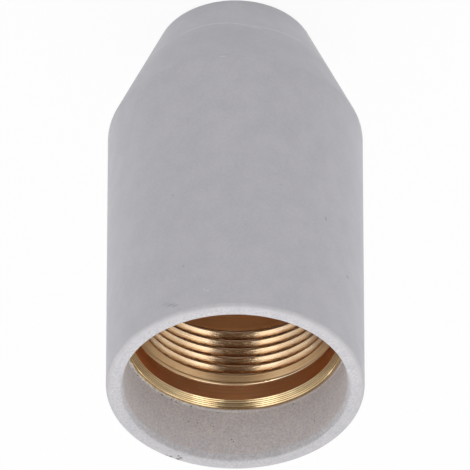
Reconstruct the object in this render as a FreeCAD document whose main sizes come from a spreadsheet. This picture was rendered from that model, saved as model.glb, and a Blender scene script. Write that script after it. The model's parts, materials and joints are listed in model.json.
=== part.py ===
import FreeCAD, Part
import os
import Sketcher

# Plasma shield cap: a moulded insulating shell with a straight skirt and a conical nose, and a turned
# brass insert bonded into a pocket inside it. The insert carries the internal thread that screws the
# cap to the torch head.
# The cap stands on its nose: the origin is the centre of the nose's flat end, and +Z runs up the axis
# to the mouth. Sizes are in millimetres. The radial sizes build outwards from the thread, so the
# insert, its pocket, the skirt and the outside keep fitting each other.

SIZES = {
    # Thread and the bores beside it
    "thread_minor_diameter": 22.58,
    "thread_depth": 0.62,
    "thread_length": 6.85,
    "counterbore_clearance": 0.09,
    "counterbore_length": 2.22,
    "relief_clearance": 0.09,
    "relief_length": 3.83,
    # Brass insert
    "insert_wall": 0.7,
    "face_width": 0.28,
    "lead_in_depth": 0.93,
    "seat_edge": 0.15,
    # Shell round the insert, and its mouth
    "bond_gap": 0.05,
    "insert_setback": 7.24,
    "ledge_width": 0.17,
    "skirt_wall": 1.98,
    "mouth_chamfer_width": 0.31,
    "mouth_chamfer_depth": 0.83,
    "rim_edge_round": 0.53,
    "straight_length": 37.69,
    # Nose and the hollow behind it
    "nose_length": 14.3,
    "nose_end_wall": 2.83,
    "nose_edge_round": 1.2,
    "shoulder_round": 1.2,
    "orifice_diameter": 12.0,
    "orifice_land": 3.2,
    "orifice_edge": 0.3,
    "tip_seat_width": 1.15,
    "insert_seat_width": 1.75,
}

# Radii and heights that follow from the sizes. The thread's two chamfers and the ledge are at 45 degrees,
# and the hollow's cone runs parallel to the outside of the nose.
PLACES = {
    "thread_radius": "thread_minor_diameter / 2",
    "counterbore_radius": "thread_radius + thread_depth + counterbore_clearance",
    "relief_radius": "thread_radius + thread_depth + relief_clearance",
    "insert_radius": "counterbore_radius + insert_wall",
    "lead_in_radius": "insert_radius - face_width",
    "pocket_radius": "insert_radius + bond_gap",
    "skirt_radius": "pocket_radius + ledge_width",
    "mouth_radius": "skirt_radius + mouth_chamfer_width",
    "outer_radius": "skirt_radius + skirt_wall",
    "hollow_radius": "pocket_radius - insert_seat_width",
    "orifice_radius": "orifice_diameter / 2",
    "tip_seat_radius": "orifice_radius + tip_seat_width",
    "nose_end_radius": "orifice_radius + nose_end_wall",
    "nose_slope": "(outer_radius - nose_end_radius) / nose_length",
    "rim_height": "straight_length + nose_length",
    "chamfer_height": "rim_height - mouth_chamfer_depth",
    "face_height": "rim_height - insert_setback",
    "ledge_height": "face_height + ledge_width",
    "counterbore_top": "face_height - lead_in_depth",
    "counterbore_foot": "counterbore_top - counterbore_length",
    "thread_top": "counterbore_foot - counterbore_radius + thread_radius",
    "thread_foot": "thread_top - thread_length",
    "relief_top": "thread_foot - relief_radius + thread_radius",
    "seat_height": "relief_top - relief_length",
    "hollow_foot": "orifice_land + (hollow_radius - tip_seat_radius) / nose_slope",
}

SAME_PLACE = 1e-5


def size_sheet(doc):
    """Put the driving sizes, and the places that follow from them, in one spreadsheet."""
    sheet = doc.addObject("Spreadsheet::Sheet", "Sizes")
    cells = {name: str(value) for name, value in SIZES.items()}
    cells.update({name: "=" + formula for name, formula in PLACES.items()})
    for row, (name, content) in enumerate(cells.items(), start=1):
        sheet.set(f"A{row}", name)
        sheet.set(f"B{row}", content)
        sheet.setAlias(f"B{row}", name)
    doc.recompute()
    return sheet


def value_of(sheet, cell):
    """The present value of a named cell; None stands for the axis or the base plane."""
    return float(sheet.get(cell)) if cell else 0.0


def hold_corner(sketch, side, direction, axis, cell):
    """Keep the start of one side on a sketch axis, or at a cell's distance from the origin."""
    if cell is None:
        sketch.addConstraint(Sketcher.Constraint("PointOnObject", side, 1, axis))
        return
    start = sketch.Geometry[side].StartPoint
    distance = start.x if direction == "DistanceX" else start.y
    constraint = sketch.addConstraint(Sketcher.Constraint(direction, -1, 1, side, 1, distance))
    sketch.setExpression(f"Constraints[{constraint}]", f"Sizes.{cell}")


def half_section(doc, sheet, body, name, corners):
    """A closed outline beside the axis, in the body's XZ plane, with (radius, height) cells as corners."""
    sketch = body.newObject("Sketcher::SketchObject", name)
    plane = next(item for item in body.Origin.OriginFeatures if item.Role == "XZ_Plane")
    sketch.AttachmentSupport = [(plane, "")]
    sketch.MapMode = "FlatFace"
    points = [FreeCAD.Vector(value_of(sheet, radius), value_of(sheet, height)) for radius, height in corners]
    following = [(side + 1) % len(points) for side in range(len(points))]
    for side, after in enumerate(following):
        sketch.addGeometry(Part.LineSegment(points[side], points[after]), False)
    for side, after in enumerate(following):
        sketch.addConstraint(Sketcher.Constraint("Coincident", side, 2, after, 1))
    for side, (radius, height) in enumerate(corners):
        hold_corner(sketch, side, "DistanceX", -2, radius)
        hold_corner(sketch, side, "DistanceY", -1, height)
    doc.recompute()
    return sketch


def turn(doc, body, kind, name, sketch):
    """Turn a half section about the axis, into material (Revolution) or out of it (Groove)."""
    feature = body.newObject(f"PartDesign::{kind}", name)
    feature.Profile = sketch
    feature.ReferenceAxis = (sketch, ["V_Axis"])
    feature.Angle = 360
    doc.recompute()


def dress_edge(doc, sheet, body, kind, name, radius, height, size):
    """Round (Fillet) or bevel (Chamfer) the ring edge at this radius and height, all given as cells."""
    base = body.Tip
    rings = [
        f"Edge{number}"
        for number, edge in enumerate(base.Shape.Edges, start=1)
        if isinstance(edge.Curve, Part.Circle)
        and abs(edge.Curve.Radius - value_of(sheet, radius)) < SAME_PLACE
        and abs(edge.Curve.Center.z - value_of(sheet, height)) < SAME_PLACE
    ]
    feature = body.newObject(f"PartDesign::{kind}", name)
    feature.Base = (base, rings)
    feature.setExpression("Radius" if kind == "Fillet" else "Size", f"Sizes.{size}")
    doc.recompute()


def insulating_shell(doc, sheet):
    """Moulded shell: a cylinder and a cone outside, a stepped and tapered hollow inside."""
    body = doc.addObject("PartDesign::Body", "Shell")
    body.Label = "insulating_shell"
    outside = half_section(doc, sheet, body, "ShellOutside", [
        (None, None),
        ("nose_end_radius", None),
        ("outer_radius", "nose_length"),
        ("outer_radius", "rim_height"),
        (None, "rim_height"),
    ])
    turn(doc, body, "Revolution", "ShellBlank", outside)
    hollow = half_section(doc, sheet, body, "ShellInside", [
        (None, None),
        ("orifice_radius", None),
        ("orifice_radius", "orifice_land"),
        ("tip_seat_radius", "orifice_land"),
        ("hollow_radius", "hollow_foot"),
        ("hollow_radius", "seat_height"),
        ("pocket_radius", "seat_height"),
        ("pocket_radius", "face_height"),
        ("skirt_radius", "ledge_height"),
        ("skirt_radius", "chamfer_height"),
        ("mouth_radius", "rim_height"),
        (None, "rim_height"),
    ])
    turn(doc, body, "Groove", "ShellHollow", hollow)
    dress_edge(doc, sheet, body, "Fillet", "Shoulder", "outer_radius", "nose_length", "shoulder_round")
    dress_edge(doc, sheet, body, "Fillet", "NoseEdge", "nose_end_radius", None, "nose_edge_round")
    dress_edge(doc, sheet, body, "Fillet", "RimEdge", "outer_radius", "rim_height", "rim_edge_round")
    dress_edge(doc, sheet, body, "Chamfer", "OrificeEdge", "orifice_radius", None, "orifice_edge")
    return body


def threaded_insert(doc, sheet):
    """Turned ring: lead-in, counterbore, land for the thread at its minor diameter, run-out relief."""
    body = doc.addObject("PartDesign::Body", "Insert")
    body.Label = "threaded_insert"
    section = half_section(doc, sheet, body, "InsertSection", [
        ("insert_radius", "seat_height"),
        ("insert_radius", "face_height"),
        ("lead_in_radius", "face_height"),
        ("counterbore_radius", "counterbore_top"),
        ("counterbore_radius", "counterbore_foot"),
        ("thread_radius", "thread_top"),
        ("thread_radius", "thread_foot"),
        ("relief_radius", "relief_top"),
        ("relief_radius", "seat_height"),
    ])
    turn(doc, body, "Revolution", "InsertRing", section)
    dress_edge(doc, sheet, body, "Chamfer", "SeatEdge", "insert_radius", "seat_height", "seat_edge")
    return body


def check(doc, bodies):
    """Stop if any object failed to build, or a piece is not one valid solid."""
    for item in doc.Objects:
        if {"Invalid", "Error"} & set(item.State):
            raise RuntimeError(f"{item.Name} failed: {item.State}")
    for body in bodies:
        if body.Shape.isNull() or not body.Shape.isValid() or len(body.Shape.Solids) != 1:
            raise RuntimeError(f"{body.Label} is not one valid solid")


def main():
    doc = FreeCAD.newDocument("ShieldCap")
    sheet = size_sheet(doc)
    bodies = [insulating_shell(doc, sheet), threaded_insert(doc, sheet)]
    doc.recompute()
    check(doc, bodies)
    os.makedirs("parts", exist_ok=True)
    for body in bodies:
        body.Shape.exportStep(f"parts/{body.Label}.step")
        print(f"{body.Label}: {body.Shape.Volume:.1f} mm3")


main()
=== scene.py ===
import json
from math import atan2, cos, degrees, hypot, pi, radians, sin, tan

import bmesh
import bpy
from mathutils import Matrix, Vector, noise


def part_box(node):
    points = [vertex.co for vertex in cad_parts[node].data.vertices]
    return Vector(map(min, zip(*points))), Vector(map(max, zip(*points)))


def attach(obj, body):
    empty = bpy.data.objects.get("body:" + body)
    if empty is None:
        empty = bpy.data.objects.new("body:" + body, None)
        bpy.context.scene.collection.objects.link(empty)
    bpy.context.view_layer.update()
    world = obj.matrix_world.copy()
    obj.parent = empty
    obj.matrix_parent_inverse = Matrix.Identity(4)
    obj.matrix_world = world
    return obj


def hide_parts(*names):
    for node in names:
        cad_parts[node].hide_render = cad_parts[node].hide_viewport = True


# A plasma torch shield cap standing on its nose: a moulded grey shell with a brass insert bonded inside,
# whose thread is cut here. Lengths are in millimetres and every mesh is scaled to metres when finished.
# The cap's axis is +Z. Azimuths are in degrees round it, from +X towards +Y.

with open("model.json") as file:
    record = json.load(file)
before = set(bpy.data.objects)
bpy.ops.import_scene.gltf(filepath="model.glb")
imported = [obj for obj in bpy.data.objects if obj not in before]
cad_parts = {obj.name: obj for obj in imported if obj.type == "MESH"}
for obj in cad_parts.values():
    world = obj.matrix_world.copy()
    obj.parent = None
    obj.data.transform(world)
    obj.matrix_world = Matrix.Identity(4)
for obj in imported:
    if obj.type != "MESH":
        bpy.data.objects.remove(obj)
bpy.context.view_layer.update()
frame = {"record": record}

MM = 0.001
AXIS = Vector((0, 0, 1))
CENTRE = Vector((0, 0, 0))

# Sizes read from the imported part

MOUNTS = {mount["name"]: mount for mount in frame["record"]["mounts"]}


def millimetres(corner):
    return [round(metres / MM, 3) for metres in corner]


def mount_height(name):
    return MOUNTS[name]["pos_m"][2] / MM


SHELL_LOW, SHELL_HIGH = (millimetres(corner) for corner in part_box("insulating_shell"))
INSERT_LOW, INSERT_HIGH = (millimetres(corner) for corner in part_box("threaded_insert"))

OUTER_RADIUS = min(SHELL_HIGH[0], SHELL_HIGH[1], -SHELL_LOW[0], -SHELL_LOW[1])
RIM = SHELL_HIGH[2]
INSERT_RADIUS = INSERT_HIGH[0]
FACE = INSERT_HIGH[2]
SEAT = INSERT_LOW[2]
THREAD_RADIUS = MOUNTS["thread"]["dims"]["r_mm"]
THREAD_LENGTH = MOUNTS["thread"]["dims"]["length_mm"]
THREAD_FOOT = mount_height("thread") - THREAD_LENGTH / 2
THREAD_TOP = THREAD_FOOT + THREAD_LENGTH
SKIRT_RADIUS = MOUNTS["skirt_bore"]["dims"]["r_mm"]
ORIFICE_RADIUS = MOUNTS["orifice"]["dims"]["r_mm"]
TIP_SEAT = mount_height("tip_seat")

# Sizes of the shell that no mount or box gives

BOND_GAP = 0.05
POCKET_RADIUS = INSERT_RADIUS + BOND_GAP
HOLLOW_RADIUS = 11.0
TIP_SEAT_RADIUS = 7.15
NOSE_END_RADIUS = 8.83
SHOULDER = 14.3
NOSE_SLOPE = (OUTER_RADIUS - NOSE_END_RADIUS) / SHOULDER
HOLLOW_FOOT = TIP_SEAT + (HOLLOW_RADIUS - TIP_SEAT_RADIUS) / NOSE_SLOPE
MOUTH_CHAMFER_WIDTH = 0.31
MOUTH_CHAMFER_DEPTH = 0.83
RIM_ROUND = 0.53
ORIFICE_EDGE = 0.3
LEDGE_RISE = SKIRT_RADIUS - POCKET_RADIUS
MOUTH_RADIUS = SKIRT_RADIUS + MOUTH_CHAMFER_WIDTH
CHAMFER_FOOT = RIM - MOUTH_CHAMFER_DEPTH

# Sizes of the insert

RELIEF_RADIUS = 12.0
LEAD_IN_RADIUS = 12.42
LEAD_IN_DEPTH = 0.93
FACE_GROOVE = 0.06
ENTRY_ROUND = 0.1
LEAD_IN_FOOT = FACE - LEAD_IN_DEPTH
RUN_OUT = RELIEF_RADIUS - THREAD_RADIUS
LAND_TOP = THREAD_TOP + RUN_OUT
LAND_FOOT = THREAD_FOOT - RUN_OUT

# Thread: right-hand, 20 to the inch. The flank that faces the nose leans at 30 degrees and the one that
# faces the mouth, which is the one in sight, at 42. A small facet at 20 degrees breaks the crests.

PITCH = 1.27
THREAD_ROOT_RADIUS = 11.906
ROOT_FLAT = PITCH / 8
FLANK_TAN = tan(radians(30))
OPEN_FLANK_TAN = tan(radians(42))
CREST_BREAK = 0.015
CREST_BREAK_TAN = tan(radians(20))
CREST_HEIGHT_AT_ZERO = 40.16
SPARE_TURNS = 4

# Steps in a full turn of the spins, and how near two points count as one

STEPS = 360
THREAD_STEPS = 240
SAME_PLACE = 1e-3

# Edges that bend less than these angles are shaded smooth

SHELL_SMOOTH_ANGLE = 30
INSERT_SMOOTH_ANGLE = 22
BEAD_SMOOTH_ANGLE = 60


def turned_ring(corners):
    """A ring of revolution from a closed half section of (radius, height) corners."""
    bm = bmesh.new()
    verts = [bm.verts.new((radius, 0, height)) for radius, height in corners]
    edges = [bm.edges.new((vert, verts[index - 1])) for index, vert in enumerate(verts)]
    bmesh.ops.spin(bm, geom=verts + edges, cent=CENTRE, axis=AXIS, angle=2 * pi, steps=STEPS, use_merge=True)
    bmesh.ops.recalc_face_normals(bm, faces=bm.faces)
    return bm


def is_on_ring(vert, radius, height):
    return abs(hypot(vert.co.x, vert.co.y) - radius) < SAME_PLACE and abs(vert.co.z - height) < SAME_PLACE


def round_edge(bm, radius, height, width, segments):
    """Round the ring edge at this radius and height; width is how far each side is cut back."""
    ring = [edge for edge in bm.edges if all(is_on_ring(vert, radius, height) for vert in edge.verts)]
    bmesh.ops.bevel(
        bm, geom=ring, offset=width, offset_type="OFFSET", affect="EDGES", segments=segments, profile=0.5,
        material=-1,
    )


def slice_at(bm, heights):
    """Cut every wall at these heights, which keeps the shading of a long wall even beside a round."""
    for height in heights:
        bmesh.ops.bisect_plane(
            bm, geom=bm.verts[:] + bm.edges[:] + bm.faces[:], plane_co=AXIS * height, plane_no=AXIS,
        )


def dress_mesh(mesh, materials, smooth_angle):
    """Give a mesh its materials, and smooth shading across every edge that bends less than this angle."""
    for material in materials:
        mesh.materials.append(material)
    mesh.shade_smooth()
    mesh.set_sharp_from_angle(angle=radians(smooth_angle))


def finish_piece(name, bm, materials, smooth_angle):
    """Scale a bmesh to metres and make it a smooth-shaded object with these materials."""
    bmesh.ops.scale(bm, vec=Vector((MM, MM, MM)), verts=bm.verts)
    mesh = bpy.data.meshes.new(name)
    bm.to_mesh(mesh)
    bm.free()
    dress_mesh(mesh, materials, smooth_angle)
    piece = bpy.data.objects.new(name, mesh)
    bpy.context.collection.objects.link(piece)
    return piece


# Shader building blocks


def add_node(tree, kind, inputs=None, **settings):
    """A shader node with its settings, and inputs given as values or as other nodes' outputs."""
    node = tree.nodes.new(kind)
    for name, value in settings.items():
        setattr(node, name, value)
    for name, value in (inputs or {}).items():
        socket = node.inputs[name]
        if isinstance(value, bpy.types.NodeSocket):
            tree.links.new(value, socket)
        else:
            socket.default_value = value
    return node


def maths(tree, operation, first, second=0.0, clamp=False):
    node = add_node(tree, "ShaderNodeMath", {0: first, 1: second}, operation=operation, use_clamp=clamp)
    return node.outputs[0]


def vector_maths(tree, operation, inputs):
    return add_node(tree, "ShaderNodeVectorMath", inputs, operation=operation).outputs


def mix_colour(tree, factor, first, second, blend="MIX"):
    node = add_node(
        tree, "ShaderNodeMix", {0: factor, 6: first, 7: second}, data_type="RGBA", blend_type=blend
    )
    return node.outputs[2]


def flip(tree, value):
    """1 less the value."""
    return maths(tree, "SUBTRACT", 1.0, value)


def ramp(tree, value, low, high):
    """0 below low, 1 above high, smooth between."""
    node = add_node(
        tree, "ShaderNodeMapRange", {"Value": value, "From Min": low, "From Max": high},
        interpolation_type="SMOOTHSTEP",
    )
    return node.outputs[0]


def ramp_to(tree, value, low, high):
    """A 0 to 1 value spread over another range."""
    node = add_node(tree, "ShaderNodeMapRange", {"Value": value, "To Min": low, "To Max": high})
    return node.outputs[0]


def mix_value(tree, factor, first, second):
    """The first value where factor is 0, the second where it is 1."""
    return add_node(tree, "ShaderNodeMix", {0: factor, 2: first, 3: second}, data_type="FLOAT").outputs[0]


def any_of(tree, masks):
    """The largest of several masks."""
    total = masks[0]
    for mask in masks[1:]:
        total = maths(tree, "MAXIMUM", total, mask)
    return total


def shade(tree, colour, value, low, high):
    """A colour times a grey that goes from low to high as the value goes from 0 to 1."""
    return mix_colour(tree, 1.0, colour, ramp_to(tree, value, low, high), "MULTIPLY")


def cover(tree, colour, mask, strength, covering):
    """A colour with another one laid over it where the mask is 1, at this strength."""
    return mix_colour(tree, maths(tree, "MULTIPLY", mask, strength), colour, covering)


def tint(tree, colour, value, tinted):
    """A colour that is multiplied by another one as the value goes from 0 to 1."""
    return mix_colour(tree, value, colour, tinted, "MULTIPLY")


def new_group(name, inputs, outputs):
    """An empty shader node group; inputs and outputs are (name, socket type, default)."""
    tree = bpy.data.node_groups.new(name, "ShaderNodeTree")
    for socket_name, kind, default in inputs:
        socket = tree.interface.new_socket(socket_name, in_out="INPUT", socket_type=kind)
        if default is not None:
            socket.default_value = default
    for socket_name, kind in outputs:
        tree.interface.new_socket(socket_name, in_out="OUTPUT", socket_type=kind)
    entry = tree.nodes.new("NodeGroupInput").outputs
    result = tree.nodes.new("NodeGroupOutput").inputs
    return tree, entry, result


def use_group(tree, group, inputs):
    return add_node(tree, "ShaderNodeGroup", inputs, node_tree=group).outputs


WHITE = (1.0, 1.0, 1.0, 1.0)
FLOAT = "NodeSocketFloat"
VECTOR = "NodeSocketVector"


def cap_place_group():
    """Where a point lies on the cap: its place in millimetres, radius, height and azimuth."""
    tree, entry, result = new_group(
        "cap_place", [("Object", VECTOR, None)],
        [("Place", VECTOR), ("Radius", FLOAT), ("Height", FLOAT), ("Azimuth", FLOAT)],
    )
    place = vector_maths(tree, "SCALE", {0: entry["Object"], "Scale": 1 / MM})[0]
    apart = add_node(tree, "ShaderNodeSeparateXYZ", {0: place}).outputs
    flat = add_node(tree, "ShaderNodeCombineXYZ", {"X": apart["X"], "Y": apart["Y"]}).outputs[0]
    radius = vector_maths(tree, "LENGTH", {0: flat})["Value"]
    turn = maths(tree, "ARCTAN2", apart["Y"], apart["X"])
    tree.links.new(place, result["Place"])
    tree.links.new(radius, result["Radius"])
    tree.links.new(apart["Z"], result["Height"])
    tree.links.new(maths(tree, "DEGREES", turn), result["Azimuth"])
    return tree


def speck_group():
    """Sparse specks: a mask that is 1 in their middles. Share is how many cells hold one."""
    tree, entry, result = new_group(
        "specks",
        [("Place", VECTOR, None), ("Cell", FLOAT, 0.5), ("Size", FLOAT, 0.3), ("Share", FLOAT, 0.2)],
        [("Mask", FLOAT)],
    )
    scale = maths(tree, "DIVIDE", 1.0, entry["Cell"])
    cells = add_node(tree, "ShaderNodeTexVoronoi", {"Vector": entry["Place"], "Scale": scale})
    chosen = add_node(tree, "ShaderNodeSeparateColor", {0: cells.outputs["Color"]}).outputs[0]
    kept = maths(tree, "LESS_THAN", chosen, entry["Share"])
    reach = maths(tree, "MULTIPLY", entry["Size"], maths(tree, "DIVIDE", chosen, entry["Share"]))
    near = maths(tree, "SUBTRACT", 1.0, maths(tree, "DIVIDE", cells.outputs["Distance"], reach), clamp=True)
    tree.links.new(maths(tree, "MULTIPLY", kept, ramp(tree, near, 0.0, 0.6)), result["Mask"])
    return tree


def mark_group():
    """One mark on the surface: an ellipsoid round a centre, with a soft edge."""
    tree, entry, result = new_group(
        "mark",
        [("Place", VECTOR, None), ("Centre", VECTOR, None), ("Size", VECTOR, None)],
        [("Mask", FLOAT)],
    )
    away = vector_maths(tree, "SUBTRACT", {0: entry["Place"], 1: entry["Centre"]})[0]
    share = vector_maths(tree, "DIVIDE", {0: away, 1: entry["Size"]})[0]
    reach = vector_maths(tree, "LENGTH", {0: share})["Value"]
    tree.links.new(flip(tree, ramp(tree, reach, 0.5, 1.1)), result["Mask"])
    return tree


def rub_line_group():
    """A fine line rubbed round the cone, between two azimuths, through three heights."""
    tree, entry, result = new_group(
        "rub_line",
        [("Azimuth", FLOAT, 0.0), ("Height", FLOAT, 0.0), ("Start", FLOAT, 0.0), ("Sweep", FLOAT, 50.0),
         ("First", FLOAT, 6.0), ("Middle", FLOAT, 6.0), ("Last", FLOAT, 6.0), ("Width", FLOAT, 0.1)],
        [("Mask", FLOAT)],
    )
    past = maths(tree, "SUBTRACT", entry["Azimuth"], entry["Start"])
    share = maths(tree, "DIVIDE", past, entry["Sweep"])
    left = flip(tree, share)
    # The line's height is a parabola through the three heights, each with its own weight
    first_weight = maths(tree, "MULTIPLY", left, maths(tree, "SUBTRACT", left, share))
    last_weight = maths(tree, "MULTIPLY", share, maths(tree, "SUBTRACT", share, left))
    middle_weight = maths(tree, "MULTIPLY", maths(tree, "MULTIPLY", share, left), 4.0)
    first = maths(tree, "MULTIPLY", entry["First"], first_weight)
    last = maths(tree, "MULTIPLY", entry["Last"], last_weight)
    middle = maths(tree, "MULTIPLY", entry["Middle"], middle_weight)
    line = maths(tree, "ADD", maths(tree, "ADD", first, last), middle)
    away = maths(tree, "ABSOLUTE", maths(tree, "SUBTRACT", entry["Height"], line))
    near = flip(tree, ramp(tree, maths(tree, "DIVIDE", away, entry["Width"]), 0.0, 1.0))
    ends = ramp(tree, middle_weight, 0.0, 0.45)
    tree.links.new(maths(tree, "MULTIPLY", near, ends), result["Mask"])
    return tree


def round_noise(tree, along, azimuth, azimuth_scale, scale, roughness):
    """Noise drawn out round the cap, by how much the azimuth counts against the place along the section."""
    around = maths(tree, "MULTIPLY", azimuth, azimuth_scale)
    place = add_node(tree, "ShaderNodeCombineXYZ", {"X": along, "Y": around}).outputs[0]
    noise_node = add_node(
        tree, "ShaderNodeTexNoise", {"Vector": place, "Scale": scale, "Detail": 2.0, "Roughness": roughness},
    )
    return noise_node.outputs["Fac"]


def turning_group():
    """
    Marks of a turning tool: leaning ridges along the section, a feed apart, that climb a lead each turn,
    with streaks of colour along them and the fine chatter of the tool's point.
    """
    tree, entry, result = new_group(
        "turning_marks",
        [("Radius", FLOAT, 0.0), ("Height", FLOAT, 0.0), ("Azimuth", FLOAT, 0.0), ("Feed", FLOAT, 0.1),
         ("Lead", FLOAT, 0.0)],
        [("Ridges", FLOAT), ("Streaks", FLOAT), ("Chatter", FLOAT)],
    )
    climb = maths(tree, "MULTIPLY", entry["Lead"], maths(tree, "DIVIDE", entry["Azimuth"], 360.0))
    section = maths(tree, "SUBTRACT", maths(tree, "ADD", entry["Height"], entry["Radius"]), climb)
    along = maths(tree, "DIVIDE", section, entry["Feed"])
    streaks = round_noise(tree, along, entry["Azimuth"], 0.01, 0.8, 0.6)
    wander = maths(tree, "ADD", along, maths(tree, "MULTIPLY", streaks, 0.25))
    # Each ridge falls for four fifths of its feed and rises again in the last fifth
    saw = maths(tree, "FRACT", wander)
    steep_side = maths(tree, "MULTIPLY", maths(tree, "MAXIMUM", maths(tree, "SUBTRACT", saw, 0.8), 0.0), 6.25)
    long_side = flip(tree, maths(tree, "MULTIPLY", saw, 1.25))
    tree.links.new(maths(tree, "ADD", long_side, steep_side), result["Ridges"])
    tree.links.new(ramp(tree, streaks, 0.3, 0.7), result["Streaks"])
    tree.links.new(round_noise(tree, along, entry["Azimuth"], 0.4, 0.6, 0.5), result["Chatter"])
    return tree


CAP_PLACE = cap_place_group()
SPECKS = speck_group()
MARK = mark_group()
RUB_LINE = rub_line_group()
TURNING = turning_group()


def new_material(name):
    """A material with an empty Principled shader, and the cap's place nodes."""
    material = bpy.data.materials.new(name)
    material.use_nodes = True
    tree = material.node_tree
    shader = tree.nodes["Principled BSDF"]
    coordinates = add_node(tree, "ShaderNodeTexCoord").outputs["Object"]
    place = use_group(tree, CAP_PLACE, {"Object": coordinates})
    return material, tree, shader, place


def noise_value(tree, place, scale, detail=4.0, roughness=0.55):
    """Noise stretched to fill 0 to 1, with scale in lumps per millimetre."""
    node = add_node(
        tree, "ShaderNodeTexNoise",
        {"Vector": place, "Scale": scale, "Detail": detail, "Roughness": roughness},
    )
    return ramp(tree, node.outputs["Fac"], 0.3, 0.7)


def add_bump(tree, shader, height, distance):
    """Bump the surface by a 0 to 1 height times a distance in millimetres."""
    bump = add_node(tree, "ShaderNodeBump", {"Height": height, "Distance": distance * MM})
    tree.links.new(bump.outputs[0], shader.inputs["Normal"])


def grey(value):
    return (value, value, value, 1.0)


def surface_point(azimuth, height, radius):
    angle = radians(azimuth)
    return (radius * cos(angle), radius * sin(angle), height)


# Lines rubbed round the cone: start azimuth, sweep, and heights at the start, middle and end

RUB_LINES = [
    (-109.0, 56.0, 7.5, 5.95, 6.6),
    (-134.0, 36.0, 6.7, 6.6, 6.5),
    (-178.0, 46.0, 6.3, 6.8, 6.9),
    (-52.0, 70.0, 6.6, 6.9, 6.4),
    (14.0, 80.0, 6.5, 6.2, 6.8),
    (90.0, 84.0, 6.7, 6.5, 6.3),
]


# Marks on the shell: azimuth, radius, height, and size across and up

OUTSIDE_MARKS = [
    (-60.1, 14.9, 50.25, 0.8, 0.2),
    (-62.3, 14.9, 50.55, 0.8, 0.2),
    (-134.5, 14.9, 35.4, 0.4, 0.8),
    (-61.0, 14.9, 33.9, 0.3, 0.3),
    (-66.5, 14.9, 45.1, 0.3, 0.3),
    (-150.1, 14.9, 41.5, 0.8, 0.5),
]
FAINT_MARKS = [
    (-57.7, 14.9, 49.85, 1.2, 0.5),
    (-60.2, 14.9, 50.3, 1.6, 0.6),
    (-62.8, 14.9, 50.65, 1.2, 0.4),
    (-85.3, 14.75, 13.8, 1.2, 0.35),
    (-110.5, 14.9, 33.05, 0.6, 0.25),
]
PALE_MARKS = [
    (-77.7, 14.9, 49.5, 0.35, 0.3),
    (-76.2, 14.9, 49.3, 0.3, 0.25),
    (-84.6, 14.75, 14.15, 0.9, 0.25),
]
RIM_MARKS = [
    (56.8, 14.6, 51.93, 0.45, 0.3),
    (58.9, 14.5, 51.95, 0.5, 0.3),
    (62.6, 14.5, 51.95, 0.6, 0.35),
    (63.4, 14.1, 51.98, 0.4, 0.3),
    (61.8, 13.9, 51.99, 0.35, 0.25),
]
INSIDE_MARKS = [
    (88.0, 12.92, 49.0, 0.2, 0.2),
    (89.1, 12.92, 49.3, 0.16, 0.2),
    (78.7, 12.92, 47.25, 0.2, 0.25),
    (65.2, 12.92, 47.3, 0.22, 0.25),
    (70.2, 12.92, 47.1, 0.2, 0.2),
    (121.5, 12.92, 45.2, 0.3, 0.2),
    (135.2, 12.92, 49.3, 0.2, 0.3),
    (23.2, 12.85, 44.85, 0.3, 0.2),
    (28.8, 12.88, 44.9, 0.3, 0.2),
    (34.6, 12.85, 44.85, 0.25, 0.2),
    (48.7, 12.9, 44.95, 0.5, 0.2),
    (55.0, 12.92, 44.95, 0.3, 0.2),
    (57.8, 12.92, 45.0, 0.4, 0.2),
    (66.6, 12.9, 44.9, 0.35, 0.22),
    (80.8, 12.92, 45.07, 0.22, 0.2),
]


def specks_mask(tree, place, cell, size, share):
    return use_group(tree, SPECKS, {"Place": place, "Cell": cell, "Size": size, "Share": share})["Mask"]


def marks_mask(tree, place, marks):
    """1 on each listed mark, 0 elsewhere."""
    masks = []
    for azimuth, radius, height, across, up in marks:
        masks.append(use_group(tree, MARK, {
            "Place": place, "Centre": surface_point(azimuth, height, radius),
            "Size": (across / 2, across / 2, up / 2),
        })["Mask"])
    return any_of(tree, masks)


def rubbed_lines_mask(tree, place):
    """1 on the lines rubbed round the cone, 0 elsewhere."""
    masks = []
    for start, sweep, first, middle, last in RUB_LINES:
        masks.append(use_group(tree, RUB_LINE, {
            "Azimuth": place["Azimuth"], "Height": place["Height"], "Start": start, "Sweep": sweep,
            "First": first, "Middle": middle, "Last": last, "Width": 0.16,
        })["Mask"])
    return any_of(tree, masks)


RUBBED_GREY = (0.62, 0.62, 0.65, 1)
SCUFF_GREY = (0.2, 0.19, 0.19, 1)


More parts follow.
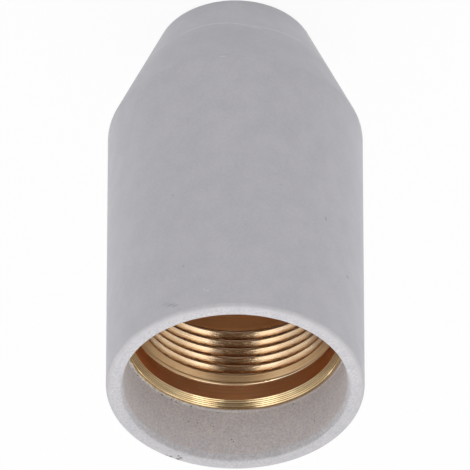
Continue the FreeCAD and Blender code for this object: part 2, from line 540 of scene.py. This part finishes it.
def shell_outside_material():
    """
    Matt light grey moulding, paler towards the nose, with a faint cloudiness, fine grain, scuffs, rubbed
    lines and dark specks.
    """
    material, tree, shader, place = new_material("shell_outside")
    cloud = noise_value(tree, place["Place"], 0.35, 5.0, 0.6)
    grain = noise_value(tree, place["Place"], 4.0, 3.0, 0.7)
    base = mix_colour(tree, cloud, (0.436, 0.434, 0.472, 1), (0.470, 0.465, 0.500, 1))
    base = shade(tree, base, grain, 0.955, 1.045)
    base = shade(tree, base, ramp(tree, place["Height"], 3.0, 10.0), 1.17, 1.0)
    rubbed = rubbed_lines_mask(tree, place)
    marked = marks_mask(tree, place["Place"], OUTSIDE_MARKS)
    faint = marks_mask(tree, place["Place"], FAINT_MARKS)
    pale = marks_mask(tree, place["Place"], PALE_MARKS)
    specks = specks_mask(tree, place["Place"], 1.6, 0.09, 0.25)
    base = cover(tree, base, rubbed, 0.85, RUBBED_GREY)
    base = cover(tree, base, marked, 0.42, SCUFF_GREY)
    base = cover(tree, base, faint, 0.2, SCUFF_GREY)
    base = cover(tree, base, pale, 0.6, RUBBED_GREY)
    base = cover(tree, base, specks, 0.35, (0.25, 0.24, 0.24, 1))
    tree.links.new(base, shader.inputs["Base Color"])
    tree.links.new(ramp_to(tree, grain, 0.46, 0.56), shader.inputs["Roughness"])
    height = maths(tree, "SUBTRACT", grain, maths(tree, "ADD", marked, specks))
    add_bump(tree, shader, maths(tree, "ADD", height, rubbed), 0.007)
    return material


def shell_rim_material():
    """The cut rim and mouth chamfer: paler than the skin, with painted light across it, and a few chips."""
    material, tree, shader, place = new_material("shell_rim")
    cloud = noise_value(tree, place["Place"], 0.9, 4.0, 0.6)
    grain = noise_value(tree, place["Place"], 3.5, 2.0, 0.6)
    base = mix_colour(tree, cloud, (0.432, 0.433, 0.460, 1), (0.476, 0.470, 0.492, 1))
    # Painted light and shade: the rim is paler on its near side (-Y) and darker on its far side (+Y).
    across = add_node(tree, "ShaderNodeSeparateXYZ", {0: place["Place"]}).outputs["Y"]
    base = shade(tree, base, ramp(tree, across, -OUTER_RADIUS, OUTER_RADIUS), 1.08, 0.92)
    chamfer = flip(tree, ramp(tree, place["Radius"], MOUTH_RADIUS - 0.05, MOUTH_RADIUS + 0.05))
    base = shade(tree, base, chamfer, 1.0, 1.2)
    rounded_part = ramp(tree, place["Radius"], OUTER_RADIUS - RIM_ROUND - 0.3, OUTER_RADIUS - 0.3)
    grain = mix_value(tree, rounded_part, grain, 0.5)
    base = shade(tree, base, grain, 0.87, 1.13)
    lines = use_group(tree, TURNING, {
        "Radius": place["Radius"], "Height": place["Height"], "Azimuth": place["Azimuth"], "Feed": 0.15,
    })["Streaks"]
    base = shade(tree, base, lines, 0.97, 1.03)
    pits = specks_mask(tree, place["Place"], 1.1, 0.12, 0.15)
    chips = marks_mask(tree, place["Place"], RIM_MARKS)
    base = cover(tree, base, pits, 0.3, (0.2, 0.18, 0.17, 1))
    base = cover(tree, base, chips, 0.9, (0.14, 0.12, 0.12, 1))
    tree.links.new(base, shader.inputs["Base Color"])
    tree.links.new(ramp_to(tree, grain, 0.6, 0.72), shader.inputs["Roughness"])
    torn = maths(tree, "ADD", pits, chips)
    add_bump(tree, shader, maths(tree, "SUBTRACT", maths(tree, "ADD", lines, grain), torn), 0.004)
    return material


def bond_line_and_gap_shade_mask(tree, place):
    """Brown bond line by the insert, darkest with painted gap shade where no adhesive was squeezed out."""
    outward = ramp(tree, place["Radius"], INSERT_RADIUS - 0.1, INSERT_RADIUS)
    inward = flip(tree, ramp(tree, place["Radius"], POCKET_RADIUS + 0.05, SKIRT_RADIUS - 0.02))
    # Painted shade of the gap: past azimuth 100, where there is no bead, the line is much darker.
    gap_shade_part = ramp_to(tree, ramp(tree, place["Azimuth"], 92, 108), 0.1, 0.75)
    return maths(tree, "MULTIPLY", maths(tree, "MULTIPLY", inward, outward), gap_shade_part)


def shell_inside_material():
    """The bored inside: warmer and grainier than the skin, with open pores and a brown bond line."""
    material, tree, shader, place = new_material("shell_inside")
    cloud = noise_value(tree, place["Place"], 0.7, 5.0, 0.65)
    grain = noise_value(tree, place["Place"], 4.0, 3.0, 0.7)
    base = mix_colour(tree, cloud, (0.585, 0.574, 0.600, 1), (0.635, 0.612, 0.612, 1))
    base = shade(tree, base, grain, 0.84, 1.16)
    pores = specks_mask(tree, place["Place"], 0.7, 0.14, 0.2)
    pits = marks_mask(tree, place["Place"], INSIDE_MARKS)
    base = cover(tree, base, pores, 0.3, (0.16, 0.13, 0.13, 1))
    # The bond line: the adhesive's brown, with painted shade of its gap.
    base = mix_colour(tree, bond_line_and_gap_shade_mask(tree, place), base, (0.38, 0.25, 0.15, 1))
    base = cover(tree, base, pits, 0.8, (0.10, 0.08, 0.08, 1))
    tree.links.new(base, shader.inputs["Base Color"])
    tree.links.new(ramp_to(tree, grain, 0.55, 0.7), shader.inputs["Roughness"])
    add_bump(tree, shader, maths(tree, "SUBTRACT", grain, maths(tree, "ADD", pores, pits)), 0.016)
    return material


def turned_brass_material(
    name, brass, feed, lead, depth, roughness, line_tint=WHITE, root_shade_tint=WHITE, chatter=0.0, specked=0.0,
):
    """
    Machined brass with the ridges of its turning tool, which are feed apart, depth deep and climb by lead
    each turn. The tints colour the ridges' tops and paint shade into the thread towards its root.
    """
    material, tree, shader, place = new_material(name)
    marks = use_group(tree, TURNING, {
        "Radius": place["Radius"], "Height": place["Height"], "Azimuth": place["Azimuth"], "Feed": feed,
        "Lead": lead,
    })
    stain = noise_value(tree, place["Place"], 0.5, 4.0, 0.6)
    base = tint(tree, brass, stain, (0.97, 0.91, 0.85, 1))
    base = shade(tree, base, marks["Streaks"], 0.82, 1.06)
    base = tint(tree, base, ramp(tree, marks["Ridges"], 0.4, 0.95), line_tint)
    # Painted shade: the thread darkens towards its root, where the crest above shades it.
    towards_root = ramp(tree, place["Radius"], THREAD_RADIUS + 0.15, THREAD_ROOT_RADIUS - 0.05)
    base = tint(tree, base, towards_root, root_shade_tint)
    specks = specks_mask(tree, place["Place"], 0.6, 0.12, 0.2)
    base = tint(tree, base, maths(tree, "MULTIPLY", specks, specked), (0.45, 0.38, 0.32, 1))
    tree.links.new(base, shader.inputs["Base Color"])
    shader.inputs["Metallic"].default_value = 1.0
    tree.links.new(ramp_to(tree, stain, roughness, roughness + 0.05), shader.inputs["Roughness"])
    height = maths(tree, "ADD", marks["Ridges"], maths(tree, "MULTIPLY", marks["Streaks"], 0.2))
    height = maths(tree, "ADD", height, maths(tree, "MULTIPLY", marks["Chatter"], chatter))
    add_bump(tree, shader, height, depth)
    return material


def adhesive_material():
    """Set adhesive: cream grey, half glossy and lumpy, with painted shade in its hollows."""
    material, tree, shader, place = new_material("bond_adhesive")
    lumps = noise_value(tree, place["Place"], 2.5, 4.0, 0.6)
    # Painted shade: the colour darkens where the lumps are low and lightens on their tops.
    base = mix_colour(tree, lumps, (0.56, 0.50, 0.43, 1), (0.90, 0.86, 0.80, 1))
    tree.links.new(base, shader.inputs["Base Color"])
    tree.links.new(ramp_to(tree, lumps, 0.6, 0.4), shader.inputs["Roughness"])
    add_bump(tree, shader, lumps, 0.03)
    return material


# Shell: its slots, how far the rim's finish stops short of the outside, and a depth within its wall

OUTSIDE_SLOT, RIM_SLOT, INSIDE_SLOT = range(3)
RIM_FINISH_STOP = 0.02
WITHIN_WALL = 1.0


def shell_form():
    """The shell as one turned ring, from its half section, with its edges rounded."""
    mouth = (MOUTH_RADIUS, RIM)
    chamfer_foot = (SKIRT_RADIUS, CHAMFER_FOOT)
    ledge_top = (SKIRT_RADIUS, FACE + LEDGE_RISE)
    bm = turned_ring([
        (ORIFICE_RADIUS + ORIFICE_EDGE, 0),
        (NOSE_END_RADIUS, 0),
        (OUTER_RADIUS, SHOULDER),
        (OUTER_RADIUS, RIM),
        mouth,
        chamfer_foot,
        ledge_top,
        (POCKET_RADIUS, FACE),
        (POCKET_RADIUS, SEAT),
        (HOLLOW_RADIUS, SEAT),
        (HOLLOW_RADIUS, HOLLOW_FOOT),
        (TIP_SEAT_RADIUS, TIP_SEAT),
        (ORIFICE_RADIUS, TIP_SEAT),
        (ORIFICE_RADIUS, ORIFICE_EDGE),
    ])
    rounds = [
        (NOSE_END_RADIUS, 0, 0.79, 8),
        (OUTER_RADIUS, SHOULDER, 0.24, 4),
        (OUTER_RADIUS, RIM, RIM_ROUND, 8),
        (*mouth, 0.14, 4),
        (*chamfer_foot, 0.12, 4),
        (*ledge_top, 0.04, 3),
        (HOLLOW_RADIUS, SEAT, 0.06, 3),
        (HOLLOW_RADIUS, HOLLOW_FOOT, 0.1, 4),
    ]
    for radius, height, width, segments in rounds:
        round_edge(bm, radius, height, width, segments)
    slice_at(bm, [1.0, SHOULDER - 0.6, SHOULDER + 0.6, 20, 28, 36, 43, 50, RIM - 1.1, RIM - 0.7])
    return bm


def shell_slot(radius, height):
    """Which material a face of the shell has, by where its centre lies."""
    if height > CHAMFER_FOOT and radius < OUTER_RADIUS - RIM_FINISH_STOP:
        return RIM_SLOT
    wall_middle = min(OUTER_RADIUS, NOSE_END_RADIUS + NOSE_SLOPE * height) - WITHIN_WALL
    return OUTSIDE_SLOT if radius > wall_middle or height < SAME_PLACE else INSIDE_SLOT


def insulating_shell():
    """The shell, with one material outside, one on its rim and one inside."""
    bm = shell_form()
    for face in bm.faces:
        centre = face.calc_center_median()
        face.material_index = shell_slot(hypot(centre.x, centre.y), centre.z)
    materials = [shell_outside_material(), shell_rim_material(), shell_inside_material()]
    shell = finish_piece("shell", bm, materials, SHELL_SMOOTH_ANGLE)
    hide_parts("insulating_shell")
    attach(shell, "root")


# Insert


def insert_blank():
    """The ring before threading, bored to the thread's minor radius."""
    lead_in_foot = (RELIEF_RADIUS, LEAD_IN_FOOT)
    lead_in_slope = (LEAD_IN_RADIUS - RELIEF_RADIUS) / LEAD_IN_DEPTH
    lead_in_top = (LEAD_IN_RADIUS - FACE_GROOVE * lead_in_slope, FACE - FACE_GROOVE)
    thread_entry = (RELIEF_RADIUS, LAND_TOP)
    thread_exit = (RELIEF_RADIUS, LAND_FOOT)
    bm = turned_ring([
        (INSERT_RADIUS, SEAT),
        (INSERT_RADIUS, FACE),
        (LEAD_IN_RADIUS + FACE_GROOVE, FACE),
        (LEAD_IN_RADIUS, FACE - 2 * FACE_GROOVE),
        lead_in_top,
        lead_in_foot,
        thread_entry,
        (THREAD_RADIUS, THREAD_TOP),
        (THREAD_RADIUS, THREAD_FOOT),
        thread_exit,
        (RELIEF_RADIUS, SEAT),
    ])
    rounds = [
        (INSERT_RADIUS, SEAT, 0.1, 3),
        (INSERT_RADIUS, FACE, 0.04, 2),
        (*lead_in_foot, 0.04, 2),
        (*thread_entry, ENTRY_ROUND, 4),
        (*thread_exit, 0.05, 2),
    ]
    for radius, height, width, segments in rounds:
        round_edge(bm, radius, height, width, segments)
    slice_at(bm, [LEAD_IN_FOOT - 0.3, LAND_TOP + 0.3, LAND_FOOT - 0.3])
    return bm


def thread_cutter():
    """A helical ridge with the shape of the thread's groove, which runs out past both ends of the land."""
    root_half = ROOT_FLAT / 2
    depth = THREAD_ROOT_RADIUS - THREAD_RADIUS
    break_half = root_half + (depth - CREST_BREAK) * FLANK_TAN
    open_half = root_half + (depth - CREST_BREAK) * OPEN_FLANK_TAN
    facet = 2 * CREST_BREAK / CREST_BREAK_TAN
    groove_middle = CREST_HEIGHT_AT_ZERO - root_half - depth * FLANK_TAN
    turns = round(THREAD_LENGTH / PITCH) + SPARE_TURNS
    foot = groove_middle - (turns - SPARE_TURNS / 2) * PITCH
    section = [
        (THREAD_ROOT_RADIUS, -root_half),
        (THREAD_RADIUS + CREST_BREAK, -open_half),
        (THREAD_RADIUS - CREST_BREAK, -open_half - facet),
        (THREAD_RADIUS - CREST_BREAK, break_half + facet),
        (THREAD_RADIUS + CREST_BREAK, break_half),
        (THREAD_ROOT_RADIUS, root_half),
    ]
    bm = bmesh.new()
    verts = [bm.verts.new((radius, 0, foot + height)) for radius, height in section]
    edges = [bm.edges.new((vert, verts[index - 1])) for index, vert in enumerate(verts)]
    bmesh.ops.spin(
        bm, geom=verts + edges, cent=CENTRE, axis=AXIS, dvec=AXIS * (PITCH / THREAD_STEPS), angle=2 * pi,
        steps=THREAD_STEPS,
    )
    first_turn = bm.verts[:] + bm.edges[:] + bm.faces[:]
    for turn in range(1, turns):
        copied = bmesh.ops.duplicate(bm, geom=first_turn)["geom"]
        moved = [item for item in copied if isinstance(item, bmesh.types.BMVert)]
        bmesh.ops.translate(bm, vec=AXIS * PITCH * turn, verts=moved)
    bmesh.ops.remove_doubles(bm, verts=bm.verts, dist=SAME_PLACE)
    bmesh.ops.holes_fill(bm, edges=[edge for edge in bm.edges if edge.is_boundary])
    bmesh.ops.recalc_face_normals(bm, faces=bm.faces)
    return bm


FACE_BRASS, THREAD_BRASS, BORE_BRASS, ENTRY_BRASS, EDGE_BRASS, RELIEF_BRASS = range(6)


def insert_slot(centre):
    """Which brass a face of the insert has, by where its centre lies."""
    radius, height = hypot(centre.x, centre.y), centre.z
    last_crest = CREST_HEIGHT_AT_ZERO + PITCH * atan2(centre.y, centre.x) / (2 * pi)
    if height > LEAD_IN_FOOT:
        return FACE_BRASS
    if height > LAND_TOP - ENTRY_ROUND:
        return EDGE_BRASS if radius < RELIEF_RADIUS - SAME_PLACE else BORE_BRASS
    if height > last_crest + 2 * ENTRY_ROUND:
        return ENTRY_BRASS
    return THREAD_BRASS if height > LAND_FOOT else RELIEF_BRASS


def insert_brasses():
    """The insert's materials, in the order of its slots."""
    yellow, pale, bright = (0.95, 0.78, 0.48, 1), (0.88, 0.70, 0.48, 1), (0.96, 0.80, 0.56, 1)
    red, orange, dull = (0.88, 0.49, 0.24, 1), (1.0, 0.52, 0.22, 1), (0.59, 0.42, 0.24, 1)
    # The third colour on the next line is painted shade for the thread's root.
    line, faint_line, root_shade_colour = (0.62, 0.50, 0.35, 1), (0.85, 0.76, 0.66, 1), (0.46, 0.27, 0.12, 1)
    return [
        turned_brass_material("brass_face", yellow, 0.3, 0.0, 0.062, 0.12, line),
        turned_brass_material(
            "brass_thread", pale, PITCH / 10, PITCH, 0.002, 0.08, faint_line, root_shade_colour, chatter=10.0,
        ),
        turned_brass_material("brass_bore", red, 0.08, 0.0, 0.003, 0.3, specked=0.8),
        turned_brass_material("brass_entry", dull, 0.15, 0.0, 0.008, 0.3, faint_line),
        turned_brass_material("brass_edge", bright, 0.1, 0.0, 0.001, 0.1),
        turned_brass_material("brass_relief", orange, 0.3, 0.0, 0.003, 0.45, specked=0.8),
    ]


def threaded_insert():
    """The bored ring with the thread cut into its land."""
    cutter = finish_piece("thread_cutter", thread_cutter(), [], INSERT_SMOOTH_ANGLE)
    insert = finish_piece("threaded_ring", insert_blank(), [], INSERT_SMOOTH_ANGLE)
    cut = insert.modifiers.new("thread", "BOOLEAN")
    cut.object = cutter
    cut.operation = "DIFFERENCE"
    cut.solver = "MANIFOLD"
    threaded = bpy.data.meshes.new_from_object(insert.evaluated_get(bpy.context.evaluated_depsgraph_get()))
    insert.modifiers.clear()
    insert.data = threaded
    threaded.materials.clear()
    dress_mesh(threaded, insert_brasses(), INSERT_SMOOTH_ANGLE)
    for polygon in threaded.polygons:
        polygon.material_index = insert_slot(polygon.center / MM)
    bpy.data.objects.remove(cutter)
    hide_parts("threaded_insert")
    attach(insert, "root")


# Bead of adhesive squeezed out where the insert meets the ledge, from azimuth BEAD_START on. It tapers
# over a share of BEAD_TAPER at each end, and there it stays a thread of BEAD_LEAST times its width.

BEAD_RADIUS = 12.8
BEAD_START = 10.0
BEAD_SWEEP = 68.0
BEAD_HALF_WIDTH = 0.15
BEAD_TAPER = 1 / 6
BEAD_LEAST = 0.15


def bond_bead():
    """The bead, as a round section swept along the bond."""
    bm = bmesh.new()
    bmesh.ops.create_circle(bm, cap_ends=False, segments=10, radius=BEAD_HALF_WIDTH)
    bmesh.ops.rotate(bm, verts=bm.verts, cent=CENTRE, matrix=Matrix.Rotation(pi / 2, 3, "X"))
    bmesh.ops.translate(bm, verts=bm.verts, vec=(BEAD_RADIUS, 0, FACE))
    bmesh.ops.rotate(bm, verts=bm.verts, cent=CENTRE, matrix=Matrix.Rotation(radians(BEAD_START), 3, "Z"))
    bmesh.ops.spin(
        bm, geom=bm.verts[:] + bm.edges[:], cent=CENTRE, axis=AXIS, angle=radians(BEAD_SWEEP), steps=200,
    )
    bmesh.ops.holes_fill(bm, edges=[edge for edge in bm.edges if edge.is_boundary])
    for vert in bm.verts:
        shape_bead(vert)
    bmesh.ops.recalc_face_normals(bm, faces=bm.faces)
    bead = finish_piece("bond_bead", bm, [adhesive_material()], BEAD_SMOOTH_ANGLE)
    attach(bead, "root")


def shape_bead(vert):
    """Thin the bead towards its ends and make it lumpy."""
    around = degrees(atan2(vert.co.y, vert.co.x))
    middle = Vector((BEAD_RADIUS * cos(radians(around)), BEAD_RADIUS * sin(radians(around)), FACE))
    share = (around - BEAD_START) / BEAD_SWEEP
    taper = min(1.0, share / BEAD_TAPER, (1 - share) / BEAD_TAPER) if 0 < share < 1 else 0.0
    lumps = 0.75 + 0.7 * noise.noise(Vector((around * 0.22, 3.0, 0.0)))
    lumps += 0.25 * noise.noise(vert.co * 3.0)
    vert.co = middle + (vert.co - middle) * max(BEAD_LEAST, taper * lumps)


# Camera: it looks down into the mouth, rolled so that the nose is at the top of the picture

CAMERA_PLACE = Vector((0.035, -1137.49, 990.99))
CAMERA_ELEVATION = 40.226
LENS = 981.87


def make_camera():
    """The camera that the picture is taken with, far off and with a long lens."""
    elevation = radians(CAMERA_ELEVATION)
    back = Vector((0, -cos(elevation), sin(elevation)))
    picture_right = Vector((-1, 0, 0))
    turn = Matrix((picture_right, back.cross(picture_right), back)).transposed()
    data = bpy.data.cameras.new("camera")
    data.lens = LENS
    data.clip_start = 0.1
    data.clip_end = 20.0
    camera = bpy.data.objects.new("camera", data)
    camera.matrix_world = Matrix.Translation(CAMERA_PLACE * MM) @ turn.to_4x4()
    bpy.context.collection.objects.link(camera)
    bpy.context.scene.camera = camera


# Stage and light

FLOOR_RADIUS = 3000.0
FLOOR_GREY = 0.7
FLOOR_GLOW_SHARE = 0.94
HORIZON = (0.62, 0.62, 0.62, 1)
OVERHEAD = (0.10, 0.060, 0.038, 1)

# Softboxes: name, azimuth, elevation, distance, width, height and brightness. The overhead ones leave a
# dark slit between them, which the brass shows as a dark band down its middle.

SOFTBOXES = [
    ("overhead_left", 0, 61.5, 1010, 1800, 320, 1.35),
    ("overhead_right", 180, 63.0, 1010, 1800, 320, 1.35),
    ("side_left", 0, 43.5, 1010, 1800, 320, 0.7),
    ("side_right", 180, 45.0, 1010, 1800, 320, 0.7),
    ("front_left", -60, 25, 1200, 600, 700, 1.05),
    ("front_right", -120, 25, 1200, 600, 700, 1.05),
    ("behind_left", 30, 12, 1200, 500, 700, 2.0),
    ("behind_right", 150, 12, 1200, 500, 700, 2.0),
    ("high_behind", 90, 62, 900, 600, 400, 5.5),
]


def make_floor():
    """A pale floor that the camera sees nearly white, with the cap's soft shadow."""
    bm = bmesh.new()
    bmesh.ops.create_circle(bm, cap_ends=True, segments=96, radius=FLOOR_RADIUS)
    material = bpy.data.materials.new("floor_paper")
    material.use_nodes = True
    tree = material.node_tree
    tree.nodes.remove(tree.nodes["Principled BSDF"])
    paper = add_node(tree, "ShaderNodeBsdfDiffuse", {"Color": grey(FLOOR_GREY)})
    glow = add_node(tree, "ShaderNodeEmission", {"Color": grey(1.0), "Strength": 1.0})
    paths = add_node(tree, "ShaderNodeLightPath").outputs
    seen = any_of(tree, [paths["Is Camera Ray"], paths["Is Glossy Ray"], paths["Is Transmission Ray"]])
    mixed = add_node(tree, "ShaderNodeMixShader", {
        0: maths(tree, "MULTIPLY", seen, FLOOR_GLOW_SHARE), 1: paper.outputs[0], 2: glow.outputs[0],
    })
    tree.links.new(mixed.outputs[0], tree.nodes["Material Output"].inputs["Surface"])
    floor = finish_piece("floor", bm, [material], SHELL_SMOOTH_ANGLE)


def make_world():
    """A studio that is grey at the horizon and dark and warm overhead."""
    world = bpy.data.worlds.new("studio")
    bpy.context.scene.world = world
    world.use_nodes = True
    tree = world.node_tree
    direction = add_node(tree, "ShaderNodeTexCoord").outputs["Generated"]
    up = add_node(tree, "ShaderNodeSeparateXYZ", {0: direction}).outputs["Z"]
    colour = mix_colour(tree, ramp(tree, up, 0.4, 0.85), HORIZON, OVERHEAD)
    tree.links.new(colour, tree.nodes["Background"].inputs["Color"])


def make_softbox(name, azimuth, elevation, distance, width, height, brightness):
    """A rectangular softbox that faces the cap; brightness is how white it looks in a mirror."""
    lamp = bpy.data.lights.new(name, "AREA")
    lamp.shape = "RECTANGLE"
    lamp.size = width * MM
    lamp.size_y = height * MM
    lamp.energy = pi * brightness * lamp.size * lamp.size_y
    level = cos(radians(elevation))
    away = Vector((
        cos(radians(azimuth)) * level, sin(radians(azimuth)) * level, sin(radians(elevation)),
    ))
    softbox = bpy.data.objects.new(name, lamp)
    softbox.location = (away * distance + AXIS * RIM) * MM
    softbox.rotation_euler = (-away).to_track_quat("-Z", "Y").to_euler()
    softbox.visible_camera = False
    bpy.context.collection.objects.link(softbox)


make_camera()
insulating_shell()
threaded_insert()
bond_bead()
make_floor()
make_world()
for box in SOFTBOXES:
    make_softbox(*box)

bpy.context.scene.view_settings.view_transform = "Standard"
